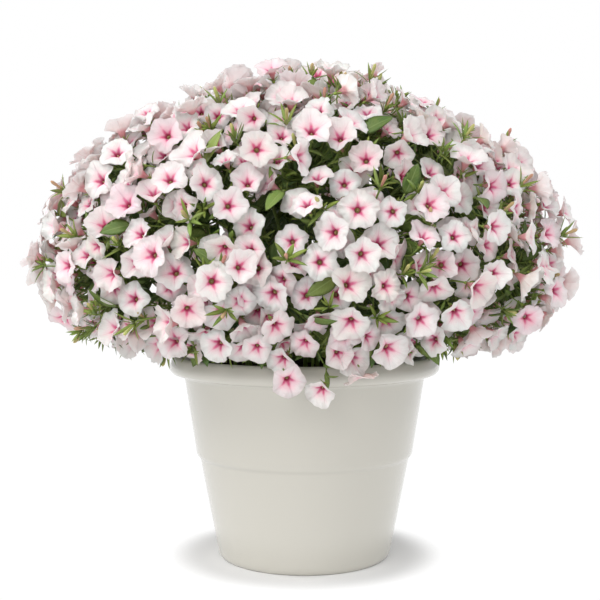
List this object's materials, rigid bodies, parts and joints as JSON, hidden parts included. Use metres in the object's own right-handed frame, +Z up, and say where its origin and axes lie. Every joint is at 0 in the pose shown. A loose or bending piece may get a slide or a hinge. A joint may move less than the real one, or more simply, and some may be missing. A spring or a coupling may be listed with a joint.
{
  "type": "potted petunia",
  "caption": "Round dome of pale pink trumpet-shaped bedding flowers on leafy shoots, growing in a round rimmed planter filled with potting soil; stands free on the floor.",
  "frame": {"origin": "middle of the planter's flat underside, on the floor", "axes": "+Z up along the planter's axis, -Y towards the front that the picture shows, +X to the viewer's right"},
  "size_m": [0.8051, 0.7012, 0.7433],
  "materials": {
    "pot_resin": "glossy moulded resin, cream white",
    "potting_mix": "matt crumbly bark and peat mix",
    "foliage": "soft matt green leaf",
    "petals": "soft matt petal, pale pink to white with a deep pink throat"
  },
  "bodies": {
    "root": {"pot": "pot_resin", "potting_soil": "potting_mix", "leafy_shoot_01": "foliage", "blooms_01": "petals", "leafy_shoot_02": "foliage", "blooms_02": "petals", "leafy_shoot_03": "foliage", "blooms_03": "petals", "leafy_shoot_04": "foliage", "blooms_04": "petals", "leafy_shoot_05": "foliage", "blooms_05": "petals", "leafy_shoot_06": "foliage", "blooms_06": "petals", "leafy_shoot_07": "foliage", "blooms_07": "petals", "leafy_shoot_08": "foliage", "blooms_08": "petals", "leafy_shoot_09": "foliage", "blooms_09": "petals", "leafy_shoot_10": "foliage", "blooms_10": "petals", "leafy_shoot_11": "foliage", "blooms_11": "petals", "leafy_shoot_12": "foliage", "blooms_12": "petals", "leafy_shoot_13": "foliage", "blooms_13": "petals", "leafy_shoot_14": "foliage", "blooms_14": "petals", "leafy_shoot_15": "foliage", "blooms_15": "petals", "leafy_shoot_16": "foliage", "blooms_16": "petals", "leafy_shoot_17": "foliage", "blooms_17": "petals", "leafy_shoot_18": "foliage", "blooms_18": "petals", "leafy_shoot_19": "foliage", "blooms_19": "petals", "leafy_shoot_20": "foliage", "blooms_20": "petals", "leafy_shoot_21": "foliage", "blooms_21": "petals", "leafy_shoot_22": "foliage", "blooms_22": "petals", "leafy_shoot_23": "foliage", "blooms_23": "petals", "leafy_shoot_24": "foliage", "blooms_24": "petals", "leafy_shoot_25": "foliage", "blooms_25": "petals", "leafy_shoot_26": "foliage", "blooms_26": "petals", "leafy_shoot_27": "foliage", "blooms_27": "petals", "leafy_shoot_28": "foliage", "blooms_28": "petals"}
  },
  "joints": []
}
